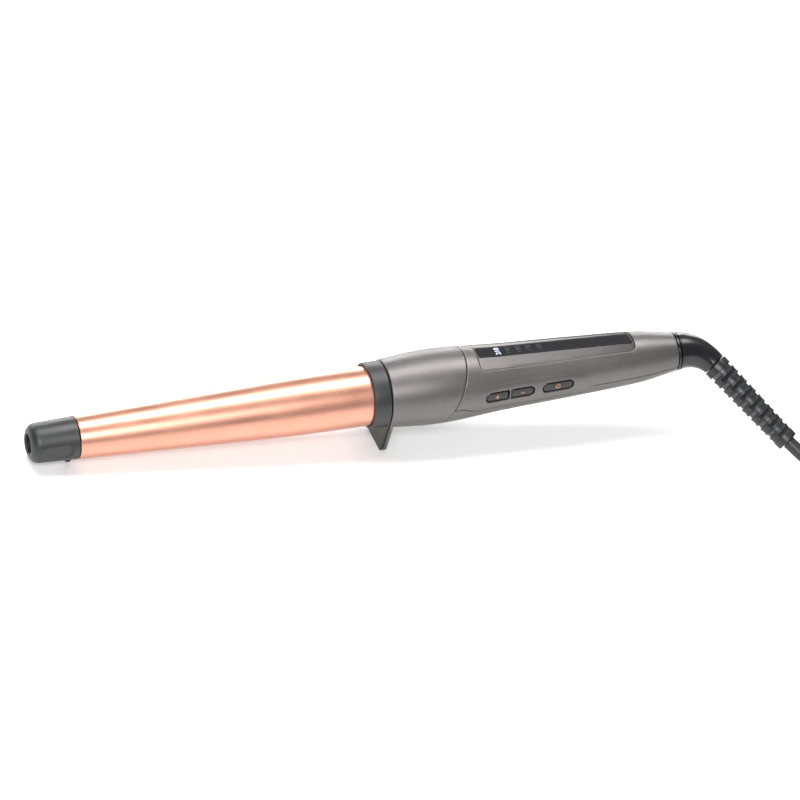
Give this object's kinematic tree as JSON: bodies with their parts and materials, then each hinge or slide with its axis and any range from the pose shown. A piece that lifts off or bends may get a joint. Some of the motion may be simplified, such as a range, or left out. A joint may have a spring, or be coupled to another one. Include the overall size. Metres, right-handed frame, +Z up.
{
  "type": "curling wand",
  "caption": "Conical curling wand: tapered coated barrel with a cool tip, a collar with a small stand, a waisted handle with keys and a display, and a swivelling cord.",
  "frame": {"origin": "middle of the stand's flat foot, on the surface that the wand stands on", "axes": "+X along the wand from its cool tip to its cord, +Z up, and the keys face -Y"},
  "size_m": [0.5564, 0.094, 0.0513],
  "materials": {
    "rose_gold_coating": "satin rose-gold coating with a fine sparkle",
    "gunmetal_paint": "satin gunmetal metallic lacquer",
    "black_heatproof_plastic": "satin",
    "gloss_black_plastic": "gloss",
    "black_rubber": "satin",
    "aluminium": "bare extrusion",
    "plated_steel": "zinc plated",
    "brass": "bare",
    "ceramic": "matt fired ceramic",
    "brown_phenolic": "satin",
    "circuit_board": "satin solder mask",
    "natural_nylon": "satin",
    "red_capacitor_case": "satin",
    "glass_braid_sleeve": "woven"
  },
  "bodies": {
    "wand": {"barrel_bush": "brown_phenolic", "barrel_collar": "black_heatproof_plastic", "barrel_screw_far": "plated_steel", "barrel_screw_near": "plated_steel", "barrel_tube": "rose_gold_coating", "board_screw_front": "plated_steel", "board_screw_rear": "plated_steel", "contact_carrier": "brown_phenolic", "contact_spring_live": "brass", "contact_spring_neutral": "brass", "control_board": "circuit_board", "cool_tip": "black_heatproof_plastic", "display_module": "natural_nylon", "display_panel": "gunmetal_paint", "display_window": "gloss_black_plastic", "front_housing": "gunmetal_paint", "handle_chassis": "black_heatproof_plastic", "handle_screw_front": "plated_steel", "handle_screw_rear": "plated_steel", "heat_spreader_lower": "aluminium", "heat_spreader_upper": "aluminium", "heater_wire_live": "glass_braid_sleeve", "heater_wire_neutral": "glass_braid_sleeve", "lower_shell": "gunmetal_paint", "power_switch": "black_heatproof_plastic", "ptc_element": "ceramic", "sensor_wire": "glass_braid_sleeve", "supply_capacitor": "red_capacitor_case", "supply_wire_live": "black_heatproof_plastic", "supply_wire_neutral": "black_heatproof_plastic", "swivel_bush": "black_heatproof_plastic", "temp_down_switch": "black_heatproof_plastic", "temp_up_switch": "black_heatproof_plastic", "thermal_fuse": "plated_steel", "thermistor": "ceramic", "tip_anchor": "plated_steel", "tip_screw": "plated_steel", "triac": "black_heatproof_plastic", "upper_shell": "gunmetal_paint"},
    "temp_up_key": {"temp_up_button": "gloss_black_plastic"},
    "temp_down_key": {"temp_down_button": "gloss_black_plastic"},
    "power_key": {"power_button": "gloss_black_plastic"},
    "cord_swivel": {"cord_elbow": "black_heatproof_plastic", "slip_ring_live": "brass", "slip_ring_neutral": "brass", "strain_relief": "black_rubber", "power_cord": "black_rubber", "cord_coil": "black_rubber", "cord_tail": "black_rubber", "cord_tie": "black_rubber", "plug_body": "black_heatproof_plastic", "plug_pin_live": "brass", "plug_pin_neutral": "brass"}
  },
  "joints": [
    {"name": "temp_up_press", "type": "slide", "parent": "wand", "child": "temp_up_key", "axis": [0.0097, 0.9945, -0.1041], "range_m": [0, 0.0008], "stiffness_N_per_m": 800, "springref_m": -0.0004},
    {"name": "temp_down_press", "type": "slide", "parent": "wand", "child": "temp_down_key", "axis": [0.0097, 0.9945, -0.1041], "range_m": [0, 0.0008], "stiffness_N_per_m": 800, "springref_m": -0.0004},
    {"name": "power_press", "type": "slide", "parent": "wand", "child": "power_key", "axis": [0.0097, 0.9945, -0.1041], "range_m": [0, 0.0008], "stiffness_N_per_m": 800, "springref_m": -0.0004},
    {"name": "cord_turn", "type": "hinge", "parent": "wand", "child": "cord_swivel", "pos_m": [0.14101, 0, 0.04103], "axis": [0.9957, 0, 0.0925], "continuous": true}
  ]
}
